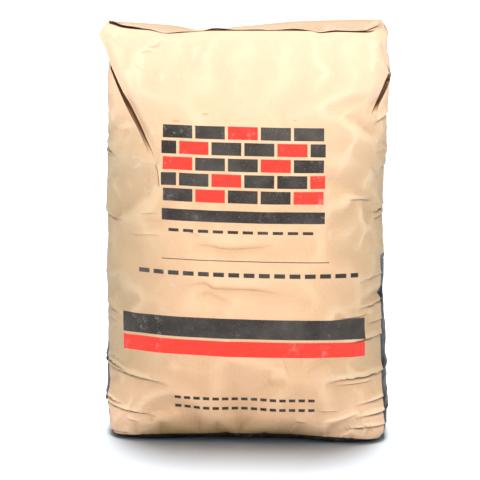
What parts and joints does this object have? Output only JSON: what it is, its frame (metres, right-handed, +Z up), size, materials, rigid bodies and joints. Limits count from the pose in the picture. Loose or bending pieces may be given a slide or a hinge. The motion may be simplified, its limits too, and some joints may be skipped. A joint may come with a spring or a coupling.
{
  "type": "filled paper cement bag",
  "caption": "Upright filled kraft-paper sack of cement with pasted block ends, folded top corners and a closed filling valve.",
  "frame": {"origin": "on the floor under the middle of the standing bag", "axes": "+Z up, the printed front panel faces -Y, +X to the right of someone looking at the front"},
  "size_m": [0.4224, 0.159, 0.6204],
  "materials": {
    "kraft_print": "matte kraft paper",
    "kraft_strip": "matte kraft paper",
    "sleeve_paper": "matte kraft paper",
    "dark_print": "satin dark print on paper"
  },
  "bodies": {
    "root": {"sack": "kraft_print", "top_patch": "kraft_strip", "valve_sleeve": "sleeve_paper", "bottom_patch": "dark_print"}
  },
  "joints": []
}
